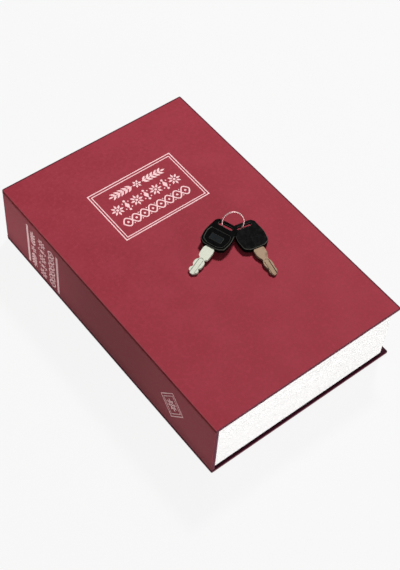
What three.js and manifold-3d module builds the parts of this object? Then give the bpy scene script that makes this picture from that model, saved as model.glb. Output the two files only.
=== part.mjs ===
// A book diversion safe: a hardcover book whose page block hides a steel tray with a hinged, locked lid.
// Millimetres, +Z up. The origin is under the middle of the closed book, on the surface that it lies on.
// The spine is at -X, the fore-edge at +X, the tail (lower edge of the pages) at -Y and the head at +Y.
// Every piece is drawn with the covers and the lid closed and the lock unlocked.

import * as THREE from 'three';
import { mergeVertices } from 'three/addons/utils/BufferGeometryUtils.js';
import Module from 'manifold-3d';

const wasm = await Module();
wasm.setup();

// The closed book, outside
const bookWidth = 157;
const bookLength = 240;
const bookThickness = 55;

// The case: boards in a wrap that is turned in over their edges
const boardThickness = 2.4;
const wrapThickness = 0.4;
const endpaperThickness = 0.3;
const turnInWidth = 15;
const endpaperInset = 6;
const jointGap = 0.6;
const grooveDepth = 0.2;
const coverClearance = 0.3;

// The page block: a moulded shell that shows at the fore-edge, head and tail
const foreEdgeSquare = 5;
const endSquare = 2;
const pageWall = 2;
const pageRimWidth = 9.2;
const pageRimThickness = 2;
const pageFootWidth = 6;
const pageFootThickness = 1.5;

// The steel tray and its lid
const sheetThickness = 0.8;
const lidThickness = 0.8;
const lidRecess = 4.1;
const traySurround = 0.3;
const lidSurround = 0.7;
const adhesiveThickness = 0.5;
const adhesiveInset = 8;
const flangeWidth = 5;
const ledgeWidth = 14.9;
const lidGap = 0.3;

// The two butt hinges of the lid
const hingeEndDistance = 40.1;
const leafLength = 40;
const leafWidth = 12;
const leafThickness = 0.9;
const knuckleRadius = 1.7;
const knuckleLift = 0.15;
const middleKnuckle = 14;
const knuckleGap = 0.4;
const hingePinRadius = 0.9;
const pinClearance = 0.1;
const pinHeadRadius = 1.5;
const pinHeadLength = 0.8;

// Rivets of the hinges and of the strike
const rivetRadius = 1.2;
const rivetHeadRadius = 1.9;
const rivetHeadHeight = 0.8;
const rivetTailHeight = 0.7;
const rivetClearance = 0.1;
const rivetCrownShare = 0.55;
const hingeRivetEndDistance = 7;
const hingeRivetOffset = 7.2;

// The cam lock
const lockSetback = 19.6;
const lockBodyRadius = 8;
const lockFlat = 6.9;
const lockFit = 0.15;
const lockHeadRadius = 10;
const lockHeadHeight = 1.8;
const lockHeadBevel = 0.6;
const lockBodyDepth = 17.7;
const plugRadius = 5.6;
const plugClearance = 0.15;
const plugRecess = 0.2;
const plugTail = 0.3;
const nutAcrossFlats = 22;
const nutHeight = 4;
const waferCount = 4;
const waferPitch = 3.5;
const waferFirstDepth = 4.2;
const waferThickness = 0.8;
const waferClearance = 0.1;
const waferWidth = 5;
const waferLength = 9.6;
const waferWindowLength = 7.6;
const waferGrooveDepth = 0.8;
const waferGrooveFloor = 2;
const keywayFloor = 1;
const camThickness = 1.3;
const camHubRadius = 6.5;
const camArmWidth = 10;
const camTipGap = 0.7;
const camSquare = 6;
const camSquareClearance = 0.15;
const camWasherRadius = 5;
const camWasherThickness = 0.8;
const camScrewRadius = 1.5;
const camScrewClearance = 0.1;
const camScrewLength = 4;
const camScrewHeadRadius = 3;
const camScrewHeadHeight = 2;
const camScrewSlotWidth = 0.8;
const camScrewSlotDepth = 0.9;

// The strike: an angle bracket on the tray's front wall that the cam turns under
const strikeThickness = 1.5;
const strikeWidth = 26;
const strikeHeight = 11;
const strikeClearance = 0.3;
const strikeLockGap = 1.6;
const strikeRivetSpacing = 16;

// The keys: a double-bitted flat blade, moulded into a bow with a slot for the ring
const bladeLength = 24;
const bladeWidth = 8.2;
const bladeThickness = 2;
const keywayClearance = 0.3;
const tangLength = 9;
const tangWidth = 6;
const tangClearance = 0.1;
const bowLength = 23;
const bowWidth = 21.2;
const bowThickness = 4;
const bowFilletShare = 0.35;
const bowBevel = 0.5;
const bowRimWidth = 1.5;
const bowPanelDepth = 0.35;
const webThickness = 2.2;
const webLength = 7.6;
const slotWidth = 4.6;
const slotLength = 11.8;
const slotBar = 2;
const keyTipLift = 0.2;

// The ring through both slots: its wire, and where its middle lies on the front cover. Angles are in degrees.
const ringRadius = 7.65;
const ringWireRadius = 0.55;
const ringPose = { x: 29.15, y: -2.66, lift: 8, tilt: 62.8, heading: -117.15 };

// How each key hangs on the ring: where round the ring its slot is, how far the wire's middle lies from the
// slot's bar and from the key's middle line, and the way that the key points
const leftKeyPose = { ringAngle: -80.45, barDistance: 1.47, offset: 2.66, azimuth: 19.5 };
const rightKeyPose = { ringAngle: 48.9, barDistance: 1.28, offset: 2, azimuth: 79.7 };

// Facets
const fineSides = 32;
const smallSides = 16;
const ringSteps = 40;
const wireSides = 8;
const slotArcSteps = 8;
const bowCornerSteps = 3;
const bowBevelSteps = 2;

// How far a cut runs past the face that it opens
const cutPast = 1;

// Planes of the case, worked out from the sizes above
const outerX = bookWidth / 2;
const outerY = bookLength / 2;
const boardX = outerX - wrapThickness;
const boardY = outerY - wrapThickness;
const spineInside = -boardX + boardThickness;
const coverThickness = wrapThickness + boardThickness + endpaperThickness;
const backBoardTop = wrapThickness + boardThickness;
const backTop = coverThickness;
const frontLow = bookThickness - coverThickness;
const frontBoardLow = frontLow + endpaperThickness;
const frontBoardTop = bookThickness - wrapThickness;
const spineLow = backBoardTop + jointGap;
const spineTop = frontLow - jointGap;

// Planes of the page block and the tray
const pagesTop = frontLow - coverClearance;
const pagesX = outerX - foreEdgeSquare;
const pagesY = outerY - endSquare;
const rimX = pagesX - pageRimWidth;
const rimY = pagesY - pageRimWidth;
const trayRight = rimX - traySurround;
const trayY = rimY - traySurround;
const trayLeft = spineInside + adhesiveThickness;
const trayLow = backTop + adhesiveThickness;
const lidTop = pagesTop - lidRecess;
const lidLow = lidTop - lidThickness;
const flangeLow = lidLow - sheetThickness;
const ledgeRight = trayLeft + ledgeWidth;
const lidLeft = ledgeRight + lidGap;
const lidRight = rimX - lidSurround;
const lidY = rimY - lidSurround;

// The hinge line of the lid, and how far its hinges lie from the middle
const hingeY = lidY - hingeEndDistance;
const hingeX = ledgeRight + lidGap / 2;
const hingeZ = lidTop + knuckleLift + knuckleRadius;
const leafTop = lidTop + leafThickness;

// The lock, from its head down
const lockX = lidRight - lockSetback;
const lockHeadTop = lidTop + lockHeadHeight;
const lockBodyLow = lidLow - lockBodyDepth;
const plugTop = lockHeadTop - plugRecess;
const plugLow = lockBodyLow - plugTail;
const keywayLength = bladeWidth + 2 * keywayClearance;
const keywayWidth = bladeThickness + 2 * keywayClearance;
const camTop = plugLow;
const camLow = camTop - camThickness;
const camReach = trayRight - sheetThickness - camTipGap - lockX;
const washerLow = camLow - camWasherThickness;
const screwTop = camLow + camScrewLength;
const keywayLow = screwTop + camScrewClearance + keywayFloor;
const strikeLow = camTop + strikeClearance;
const strikeRight = trayRight - sheetThickness;
const strikeLeft = lockX + lockBodyRadius + strikeLockGap;

function solid(geometry) {
  const bare = geometry.clone();
  for (const name of Object.keys(bare.attributes)) {
    if (name !== 'position') bare.deleteAttribute(name);
  }
  const merged = mergeVertices(bare);
  const vertProperties = new Float32Array(merged.attributes.position.array);
  const triVerts = new Uint32Array(merged.index.array);
  return new wasm.Manifold(new wasm.Mesh({ numProp: 3, vertProperties, triVerts }));
}

function geometryOf(manifold) {
  const mesh = manifold.getMesh();
  const geometry = new THREE.BufferGeometry();
  geometry.setAttribute('position', new THREE.BufferAttribute(new Float32Array(mesh.vertProperties), 3));
  geometry.setIndex(new THREE.BufferAttribute(new Uint32Array(mesh.triVerts), 1));
  geometry.computeVertexNormals();
  return geometry;
}

// A box whose corners lie exactly on the six planes, so that boxes that share a plane meet without a slit
function box(x1, x2, y1, y2, z1, z2) {
  const geometry = new THREE.BoxGeometry();
  const corners = geometry.attributes.position;
  for (let i = 0; i < corners.count; i += 1) {
    const x = corners.getX(i) < 0 ? x1 : x2;
    const y = corners.getY(i) < 0 ? y1 : y2;
    const z = corners.getZ(i) < 0 ? z1 : z2;
    corners.setXYZ(i, x, y, z);
  }
  return solid(geometry);
}

// A surface turned about the Y axis: the profile is a list of [radius, y] from the axis back to the axis.
function lathe(profile, sides) {
  const points = profile.map(([radius, along]) => new THREE.Vector2(radius, along));
  return new THREE.LatheGeometry(points, sides);
}

function rodProfile(radius, from, to) {
  return [[0, from], [radius, from], [radius, to], [0, to]];
}

// A turned solid about a vertical line, with a profile of [radius, z]
function turned(profile, x, y, sides) {
  return solid(lathe(profile, sides).rotateX(Math.PI / 2).translate(x, y, 0));
}

function cylinder(radius, z1, z2, x, y, sides) {
  return turned(rodProfile(radius, z1, z2), x, y, sides);
}

function rodAlongY(radius, y1, y2, x, z, sides) {
  return solid(lathe(rodProfile(radius, y1, y2), sides).translate(x, 0, z));
}

function rodAlongX(radius, x1, x2, y, z, sides) {
  return solid(lathe(rodProfile(radius, x1, x2), sides).rotateZ(-Math.PI / 2).translate(0, y, z));
}

function extruded(shape, z1, z2, curveSegments) {
  const geometry = new THREE.ExtrudeGeometry(shape, { depth: z2 - z1, bevelEnabled: false, curveSegments });
  geometry.translate(0, 0, z1);
  return solid(geometry);
}

function joined(pieces) {
  return pieces.reduce((whole, piece) => whole.add(piece));
}

function material(color, roughness, metalness) {
  return new THREE.MeshStandardMaterial({ color, roughness, metalness });
}

const leatherette = material(0x9c3a44, 0.6, 0);
const greyboard = material(0x8c8478, 0.9, 0);
const endpaper = material(0xe8e4dc, 0.9, 0);
const pageWhite = material(0xf3f0ee, 0.7, 0);
const blackSteel = material(0x1b1b1d, 0.55, 0.3);
const hingeSteel = material(0x8d8f92, 0.4, 0.9);
const rivetSteel = material(0xa2a4a6, 0.4, 0.9);
const lockChrome = material(0xc9cacc, 0.2, 1);
const brassMetal = material(0xb99a55, 0.35, 1);
const nickelSilver = material(0xd2d0c2, 0.3, 1);
const bowPlastic = material(0x1f2120, 0.5, 0);
const adhesiveFoam = material(0x3a3a3a, 0.9, 0);

const bookSafe = new THREE.Group();

function addPiece(name, manifold, surface, group = bookSafe) {
  const mesh = new THREE.Mesh(geometryOf(manifold), surface);
  mesh.name = name;
  group.add(mesh);
}

// A cover board, pressed down along three edges on its inner face, where the wrap's turn-ins lie.
// inner is the z of its inner face, and inward is +1 where that face looks up and -1 where it looks down.
function coverBoard(low, high, inner, inward) {
  const rebate = inner - inward * wrapThickness;
  const [z1, z2] = [Math.min(rebate, inner), Math.max(rebate, inner)];
  const edge = boardX - turnInWidth + wrapThickness;
  const end = boardY - turnInWidth + wrapThickness;
  return box(-boardX, boardX, -boardY, boardY, low, high)
    .subtract(box(edge, outerX, -outerY, outerY, z1, z2))
    .subtract(box(-outerX, outerX, end, outerY, z1, z2))
    .subtract(box(-outerX, outerX, -outerY, -end, z1, z2));
}

// The wrap round the fore-edge, head and tail of a cover, with its turn-ins, between z1 and z2.
// inner is the z of the board's inner face, as in coverBoard.
function wrapEdges(z1, z2, inner, inward) {
  const lay = inner - inward * wrapThickness;
  const [t1, t2] = [Math.min(lay, inner), Math.max(lay, inner)];
  const edge = outerX - turnInWidth;
  const end = outerY - turnInWidth;
  return joined([
    box(boardX, outerX, -outerY, outerY, z1, z2),
    box(-outerX, outerX, boardY, outerY, z1, z2),
    box(-outerX, outerX, -outerY, -boardY, z1, z2),
    box(edge, outerX, -outerY, outerY, t1, t2),
    box(-boardX, outerX, end, outerY, t1, t2),
    box(-boardX, outerX, -outerY, -end, t1, t2),
  ]);
}

function frontCover() {
  const wrap = wrapEdges(frontBoardLow, bookThickness, frontBoardLow, -1)
    .add(box(-outerX, outerX, -outerY, outerY, frontBoardTop, bookThickness))
    .add(box(-outerX, -boardX, -outerY, outerY, frontBoardLow, bookThickness));
  const paperX = outerX - endpaperInset;
  const paperY = outerY - endpaperInset;
  addPiece('front_board', coverBoard(frontBoardLow, frontBoardTop, frontBoardLow, -1), greyboard);
  addPiece('front_cover_wrap', wrap, leatherette);
  addPiece('front_endpaper', box(-paperX, paperX, -paperY, paperY, frontLow, frontBoardLow), endpaper);
}

// The strip of wrap that bends when the front cover opens, pressed in to make the groove of the joint
function coverHingeStrip() {
  const outside = -outerX + grooveDepth;
  const strip = box(outside, outside + wrapThickness, -outerY, outerY, spineTop, frontBoardLow);
  addPiece('cover_hinge_strip', strip, leatherette);
}

function spineBoard() {
  const end = outerY - turnInWidth;
  const rebate = spineInside - wrapThickness;
  const board = box(-boardX, spineInside, -boardY, boardY, spineLow, spineTop)
    .subtract(box(rebate, spineInside, end, outerY, spineLow, spineTop))
    .subtract(box(rebate, spineInside, -outerY, -end, spineLow, spineTop));
  addPiece('spine_board', board, greyboard);
}

// One sheet wraps the back cover and the spine, turned in round both
function spineAndBackWrap() {
  const end = outerY - turnInWidth;
  const rebate = spineInside - wrapThickness;
  const wrap = wrapEdges(0, backBoardTop, backBoardTop, 1)
    .add(box(-outerX, outerX, -outerY, outerY, 0, wrapThickness))
    .add(box(-outerX, -boardX, -outerY, outerY, 0, spineTop))
    .add(box(-outerX, spineInside, boardY, outerY, spineLow, spineTop))
    .add(box(-outerX, spineInside, -outerY, -boardY, spineLow, spineTop))
    .add(box(rebate, spineInside, end, outerY, spineLow, spineTop))
    .add(box(rebate, spineInside, -outerY, -end, spineLow, spineTop));
  addPiece('spine_and_back_wrap', wrap, leatherette);
}

function backCover() {
  const paperX = outerX - endpaperInset;
  const paperY = outerY - endpaperInset;
  addPiece('back_board', coverBoard(wrapThickness, backBoardTop, backBoardTop, 1), greyboard);
  addPiece('back_endpaper', box(spineInside, paperX, -paperY, paperY, backBoardTop, backTop), endpaper);
}

// The page block has the section of a channel: outer wall, rim round the tray and a foot that is glued down
function pageBlock() {
  const wallX = pagesX - pageWall;
  const wallY = pagesY - pageWall;
  const footX = pagesX - pageFootWidth;
  const footY = pagesY - pageFootWidth;
  const rimLow = pagesTop - pageRimThickness;
  const footTop = backTop + pageFootThickness;
  const past = spineInside - cutPast;
  const block = box(spineInside, pagesX, -pagesY, pagesY, backTop, pagesTop)
    .subtract(box(past, wallX, -wallY, wallY, footTop, rimLow))
    .subtract(box(past, rimX, -rimY, rimY, rimLow - cutPast, pagesTop + cutPast))
    .subtract(box(past, footX, -footY, footY, backTop - cutPast, footTop + cutPast));
  addPiece('page_block', block, pageWhite);
}

function adhesiveSheets() {
  const y = trayY - adhesiveInset;
  const base = box(trayLeft + adhesiveInset, trayRight - adhesiveInset, -y, y, backTop, trayLow);
  const spine = box(spineInside, trayLeft, -y, y, trayLow + adhesiveInset, lidLow - adhesiveInset);
  addPiece('base_adhesive_sheet', base, adhesiveFoam);
  addPiece('spine_adhesive_sheet', spine, adhesiveFoam);
}

function hingeRivetYs(centre) {
  const half = leafLength / 2 - hingeRivetEndDistance;
  return [centre - half, centre + half];
}

// Clearance holes for the rivets of every hinge, in the tray's ledge (side -1) or in the lid (side +1)
function hingeRivetHoles(side, z1, z2) {
  const ys = [-hingeY, hingeY].flatMap(hingeRivetYs);
  const x = hingeX + side * hingeRivetOffset;
  return joined(ys.map((y) => cylinder(rivetRadius + rivetClearance, z1, z2, x, y, smallSides)));
}

function strikeRivetHoles(x1, x2) {
  const z = strikeLow + strikeHeight / 2 + strikeThickness / 2;
  const ys = [-strikeRivetSpacing / 2, strikeRivetSpacing / 2];
  return joined(ys.map((y) => rodAlongX(rivetRadius + rivetClearance, x1, x2, y, z, smallSides)));
}

// The tray: floor, four walls, a flange along three of them that carries the lid, and a ledge for the hinges
function steelTray() {
  const innerLeft = trayLeft + sheetThickness;
  const innerRight = trayRight - sheetThickness;
  const innerY = trayY - sheetThickness;
  const mouthRight = trayRight - flangeWidth;
  const mouthY = trayY - flangeWidth;
  const tray = box(trayLeft, trayRight, -trayY, trayY, trayLow, lidLow)
    .subtract(box(innerLeft, innerRight, -innerY, innerY, trayLow + sheetThickness, flangeLow))
    .subtract(box(innerLeft, mouthRight, -mouthY, mouthY, flangeLow - cutPast, lidLow + cutPast))
    .add(box(trayLeft, ledgeRight, -trayY, trayY, lidLow, lidTop))
    .subtract(hingeRivetHoles(-1, lidLow - cutPast, lidTop + cutPast))
    .subtract(strikeRivetHoles(innerRight - cutPast, trayRight + cutPast));
  addPiece('steel_tray', tray, blackSteel);
}

// A cylinder with two flats, as the lock body and its hole in the lid have, grown by a clearance
function doubleD(z1, z2, grow) {
  const flat = lockFlat + grow;
  const radius = lockBodyRadius + grow;
  return cylinder(radius, z1, z2, lockX, 0, fineSides)
    .intersect(box(lockX - 2 * radius, lockX + 2 * radius, -flat, flat, z1, z2));
}

function boxLid() {
  const lid = box(lidLeft, lidRight, -lidY, lidY, lidLow, lidTop)
    .subtract(hingeRivetHoles(1, lidLow - cutPast, lidTop + cutPast))
    .subtract(doubleD(lidLow - cutPast, lidTop + cutPast, lockFit));
  addPiece('box_lid', lid, blackSteel);
}

// A rivet with its head at headZ, clamping down to tailZ, along a vertical line
function rivet(x, y, headZ, tailZ) {
  const headTop = headZ + rivetHeadHeight;
  const tailLow = tailZ - rivetTailHeight;
  return turned([
    [0, tailLow],
    [rivetHeadRadius * rivetCrownShare, tailLow],
    [rivetHeadRadius, tailZ],
    [rivetRadius, tailZ],
    [rivetRadius, headZ],
    [rivetHeadRadius, headZ],
    [rivetHeadRadius * rivetCrownShare, headTop],
    [0, headTop],
  ], x, y, smallSides);
}

// One leaf of a butt hinge. side is -1 for the leaf on the tray, which has the two end knuckles, and +1 for
// the leaf on the lid, which has the middle one.
function hingeLeaf(centre, side) {
  const y1 = centre - leafLength / 2;
  const y2 = centre + leafLength / 2;
  const m1 = centre - middleKnuckle / 2;
  const m2 = centre + middleKnuckle / 2;
  const reach = knuckleRadius + knuckleGap;
  const [x1, x2] = side < 0 ? [hingeX - leafWidth, hingeX] : [hingeX, hingeX + leafWidth];
  const barrel = rodAlongY(knuckleRadius, y1, y2, hingeX, hingeZ, fineSides);
  const neck = box(hingeX - knuckleRadius, hingeX + knuckleRadius, y1, y2, lidTop, hingeZ);
  const boreRadius = hingePinRadius + pinClearance;
  const bore = rodAlongY(boreRadius, y1 - cutPast, y2 + cutPast, hingeX, hingeZ, fineSides);
  const room = (a, b) => box(hingeX - reach, hingeX + reach, a, b, lidTop - cutPast, hingeZ + reach);
  const cuts = side < 0
    ? [room(m1 - knuckleGap, m2 + knuckleGap)]
    : [room(y1 - cutPast, m1), room(m2, y2 + cutPast)];
  const curl = neck.intersect(box(x1, x2, y1, y2, lidTop, leafTop));
  return joined([box(x1, x2, y1, y2, lidTop, leafTop), curl, barrel])
    .subtract(bore)
    .subtract(joined(cuts))
    .subtract(hingeRivetHoles(side, lidTop - cutPast, leafTop + cutPast));
}

function hingePin(centre) {
  const half = leafLength / 2;
  const headFrom = half + pinClearance;
  const headTo = headFrom + pinHeadLength;
  return joined([
    rodAlongY(hingePinRadius, centre - headTo, centre + headTo, hingeX, hingeZ, fineSides),
    rodAlongY(pinHeadRadius, centre + headFrom, centre + headTo, hingeX, hingeZ, fineSides),
    rodAlongY(pinHeadRadius, centre - headTo, centre - headFrom, hingeX, hingeZ, fineSides),
  ]);
}

function lidHinges() {
  for (const [name, centre] of [['tail', -hingeY], ['head', hingeY]]) {
    addPiece(`${name}_hinge_tray_leaf`, hingeLeaf(centre, -1), hingeSteel);
    addPiece(`${name}_hinge_lid_leaf`, hingeLeaf(centre, 1), hingeSteel);
    addPiece(`${name}_hinge_pin`, hingePin(centre), hingeSteel);
    hingeRivetYs(centre).forEach((y, index) => {
      const trayRivet = rivet(hingeX - hingeRivetOffset, y, leafTop, lidLow);
      const lidRivet = rivet(hingeX + hingeRivetOffset, y, leafTop, lidLow);
      addPiece(`${name}_hinge_tray_rivet_${index + 1}`, trayRivet, rivetSteel);
      addPiece(`${name}_hinge_lid_rivet_${index + 1}`, lidRivet, rivetSteel);
    });
  }
}

// The housing's bore has a groove on either side along Y, which the wafers lock into
function lockHousing() {
  const bore = plugRadius + plugClearance;
  const grooveX = waferWidth / 2 + waferClearance;
  const grooveY = plugRadius + plugClearance + waferGrooveDepth;
  const grooveLow = lockBodyLow + waferGrooveFloor;
  const head = turned([
    [0, lidTop],
    [lockHeadRadius, lidTop],
    [lockHeadRadius, lockHeadTop - lockHeadBevel],
    [lockHeadRadius - lockHeadBevel, lockHeadTop],
    [0, lockHeadTop],
  ], lockX, 0, fineSides);
  return head
    .add(doubleD(lockBodyLow, lidTop, 0))
    .subtract(cylinder(bore, lockBodyLow - cutPast, lockHeadTop + cutPast, lockX, 0, fineSides))
    .subtract(box(lockX - grooveX, lockX + grooveX, -grooveY, grooveY, grooveLow, lidLow));
}

function lockNut() {
  const radius = nutAcrossFlats / Math.sqrt(3);
  const hole = lockBodyRadius + lockFit;
  const nutLow = lidLow - nutHeight;
  return cylinder(radius, nutLow, lidLow, lockX, 0, 6)
    .subtract(cylinder(hole, nutLow - cutPast, lidLow + cutPast, lockX, 0, fineSides));
}

function waferLows() {
  const first = plugTop - waferFirstDepth;
  return Array.from({ length: waferCount }, (_, index) => first - index * waferPitch);
}

function keywayBox(z1, z2) {
  return box(lockX - keywayWidth / 2, lockX + keywayWidth / 2, -keywayLength / 2, keywayLength / 2, z1, z2);
}

function lockPlug() {
  const slotX = waferWidth / 2 + waferClearance;
  const slotY = plugRadius + cutPast;
  const slotHeight = waferThickness + 2 * waferClearance;
  const slots = waferLows().map((z) => box(lockX - slotX, lockX + slotX, -slotY, slotY, z, z + slotHeight));
  const half = camSquare / 2;
  const screwHole = camScrewRadius + camScrewClearance;
  return cylinder(plugRadius, plugLow, plugTop, lockX, 0, fineSides)
    .add(box(lockX - half, lockX + half, -half, half, camLow, plugTop))
    .subtract(keywayBox(keywayLow, plugTop + cutPast))
    .subtract(joined(slots))
    .subtract(cylinder(screwHole, camLow - cutPast, keywayLow - keywayFloor, lockX, 0, smallSides));
}

function lockWafer(z) {
  const low = z + waferClearance;
  const high = low + waferThickness;
  const windowX = keywayWidth / 2;
  const windowY = waferWindowLength / 2;
  const x = waferWidth / 2;
  const y = waferLength / 2;
  return box(lockX - x, lockX + x, -y, y, low, high)
    .subtract(box(lockX - windowX, lockX + windowX, -windowY, windowY, low - cutPast, high + cutPast));
}

// The cam's arm points to the head while the lock is open, and turns to the fore-edge to lock
function lockCam() {
  const half = camArmWidth / 2;
  const hole = camSquare / 2 + camSquareClearance;
  return cylinder(camHubRadius, camLow, camTop, lockX, 0, fineSides)
    .add(box(lockX - half, lockX + half, 0, camReach - half, camLow, camTop))
    .add(cylinder(half, camLow, camTop, lockX, camReach - half, fineSides))
    .subtract(box(lockX - hole, lockX + hole, -hole, hole, camLow - cutPast, camTop + cutPast));
}

function camWasher() {
  const hole = camScrewRadius + camScrewClearance;
  return cylinder(camWasherRadius, washerLow, camLow, lockX, 0, fineSides)
    .subtract(cylinder(hole, washerLow - cutPast, camLow + cutPast, lockX, 0, smallSides));
}

function camScrew() {
  const headLow = washerLow - camScrewHeadHeight;
  const slotTop = headLow + camScrewSlotDepth;
  const half = camScrewSlotWidth / 2;
  const reach = camScrewHeadRadius + cutPast;
  return cylinder(camScrewHeadRadius, headLow, washerLow, lockX, 0, smallSides)
    .add(cylinder(camScrewRadius, washerLow, screwTop, lockX, 0, smallSides))
    .subtract(box(lockX - reach, lockX + reach, -half, half, headLow - cutPast, slotTop));
}

function camLock() {
  addPiece('lock_housing', lockHousing(), lockChrome);
  addPiece('lock_nut', lockNut(), hingeSteel);
  addPiece('lock_plug', lockPlug(), lockChrome);
  waferLows().forEach((z, index) => addPiece(`lock_wafer_${index + 1}`, lockWafer(z), brassMetal));
  addPiece('lock_cam', lockCam(), hingeSteel);
  addPiece('cam_washer', camWasher(), hingeSteel);
  addPiece('cam_screw', camScrew(), rivetSteel);
}

function strikeBracket() {
  const half = strikeWidth / 2;
  const legLeft = strikeRight - strikeThickness;
  const bracket = box(legLeft, strikeRight, -half, half, strikeLow, strikeLow + strikeHeight)
    .add(box(strikeLeft, strikeRight, -half, half, strikeLow, strikeLow + strikeThickness))
    .subtract(strikeRivetHoles(legLeft - cutPast, strikeRight + cutPast));
  addPiece('strike_bracket', bracket, hingeSteel);
  const z = strikeLow + strikeHeight / 2 + strikeThickness / 2;
  [-strikeRivetSpacing / 2, strikeRivetSpacing / 2].forEach((y, index) => {
    const headEnd = legLeft - rivetHeadHeight;
    const tailEnd = trayRight + rivetTailHeight;
    const pin = rodAlongX(rivetRadius, headEnd, tailEnd, y, z, smallSides);
    const head = rodAlongX(rivetHeadRadius, headEnd, legLeft, y, z, smallSides);
    const tail = rodAlongX(rivetHeadRadius, trayRight, tailEnd, y, z, smallSides);
    addPiece(`strike_rivet_${index + 1}`, joined([head, pin, tail]), rivetSteel);
  });
}

// The cuts on either edge of the blade, as shares of its length from the tip and of its half width
const leftCuts = [
  [0, 0.3], [0.07, 0.66], [0.15, 0.7], [0.24, 0.5], [0.33, 0.78], [0.44, 0.82], [0.54, 0.56], [0.66, 1],
];
const rightCuts = [
  [0, 0.3], [0.06, 0.62], [0.13, 0.62], [0.2, 0.74], [0.29, 0.72], [0.39, 0.52], [0.5, 0.8], [0.64, 1],
];

// A key lies along its own +X from the tip, with its thickness along +Z from the underside of the bow
function keyBlade() {
  const half = bladeWidth / 2;
  const outline = new THREE.Shape();
  const left = leftCuts.map(([along, width]) => [along * bladeLength, width * half]);
  const right = rightCuts.map(([along, width]) => [along * bladeLength, -width * half]);
  const points = [
    ...left,
    [bladeLength, half],
    [bladeLength, tangWidth / 2],
    [bladeLength + tangLength, tangWidth / 2],
    [bladeLength + tangLength, -tangWidth / 2],
    [bladeLength, -tangWidth / 2],
    [bladeLength, -half],
    ...right.reverse(),
  ];
  points.forEach(([x, y], index) => (index === 0 ? outline.moveTo(x, y) : outline.lineTo(x, y)));
  outline.closePath();
  const low = (bowThickness - bladeThickness) / 2;
  return extruded(outline, low, low + bladeThickness, 1);
}

// Corners of the bow's outline, as shares of its length from the blade and of its half width
const bowCorners = [[0, 0.5], [0.12, 0.84], [0.42, 1], [0.9, 0.8], [1, 0.62]];

function bowOutline(inset) {
  const half = bowWidth / 2;
  const start = bladeLength + inset;
  const length = bowLength - 2 * inset;
  const upper = bowCorners.map(([along, width]) => [start + along * length, width * half - inset]);
  const lower = upper.map(([x, y]) => [x, -y]).reverse();
  const corners = [...upper, ...lower].map(([x, y]) => new THREE.Vector2(x, y));
  const outline = new THREE.Shape();
  corners.forEach((corner, index) => {
    const before = corners[(index + corners.length - 1) % corners.length];
    const after = corners[(index + 1) % corners.length];
    const from = corner.clone().lerp(before, bowFilletShare);
    const to = corner.clone().lerp(after, bowFilletShare);
    if (index === 0) outline.moveTo(from.x, from.y);
    else outline.lineTo(from.x, from.y);
    outline.quadraticCurveTo(corner.x, corner.y, to.x, to.y);
  });
  outline.closePath();
  return outline;
}

function bevelledBow() {
  const geometry = new THREE.ExtrudeGeometry(bowOutline(bowBevel), {
    depth: bowThickness - 2 * bowBevel,
    bevelThickness: bowBevel,
    bevelSize: bowBevel,
    bevelSegments: bowBevelSteps,
    curveSegments: bowCornerSteps,
  });
  geometry.translate(0, 0, bowBevel);
  return solid(geometry);
}

function slotShape() {
  const radius = slotWidth / 2;
  const x = bladeLength + bowLength - slotBar - radius;
  const y = slotLength / 2 - radius;
  const outline = new THREE.Shape();
  outline.moveTo(x - radius, -y);
  outline.absarc(x, y, radius, Math.PI, 0, true);
  outline.absarc(x, -y, radius, 0, -Math.PI, true);
  outline.closePath();
  return outline;
}

function keyBow() {
  const tangHalf = tangWidth / 2 + tangClearance;
  const tangLow = (bowThickness - bladeThickness) / 2 - tangClearance;
  const webStart = bladeLength + bowLength - webLength;
  const webStep = (bowThickness - webThickness) / 2;
  const past = bladeLength + bowLength + cutPast;
  const panel = bowOutline(bowRimWidth + bowBevel);
  const panelEnd = webStart - bowRimWidth;
  const above = bowThickness + cutPast;
  const panelArea = box(bladeLength, panelEnd, -bowWidth, bowWidth, -cutPast, above);
  const recess = (z1, z2) => extruded(panel, z1, z2, bowCornerSteps).intersect(panelArea);
  return bevelledBow()
    .subtract(recess(-cutPast, bowPanelDepth))
    .subtract(recess(bowThickness - bowPanelDepth, above))
    .subtract(box(webStart, past, -bowWidth, bowWidth, -cutPast, webStep))
    .subtract(box(webStart, past, -bowWidth, bowWidth, bowThickness - webStep, above))
    .subtract(extruded(slotShape(), -cutPast, above, slotArcSteps))
    .subtract(box(
      bladeLength - cutPast, bladeLength + tangLength + tangClearance, -tangHalf, tangHalf,
      tangLow, bowThickness - tangLow,
    ));
}

function ringGroup() {
  const ring = new THREE.Group();
  const tilt = THREE.MathUtils.degToRad(ringPose.tilt);
  const heading = THREE.MathUtils.degToRad(ringPose.heading);
  ring.rotation.set(0, tilt, heading, 'ZYX');
  ring.position.set(ringPose.x, ringPose.y, bookThickness + ringPose.lift);
  return ring;
}

function addKeyRing() {
  const ring = ringGroup();
  const wire = new THREE.TorusGeometry(ringRadius, ringWireRadius, wireSides, ringSteps);
  addPiece('key_ring', solid(wire), lockChrome, ring);
  bookSafe.add(ring);
}

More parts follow.
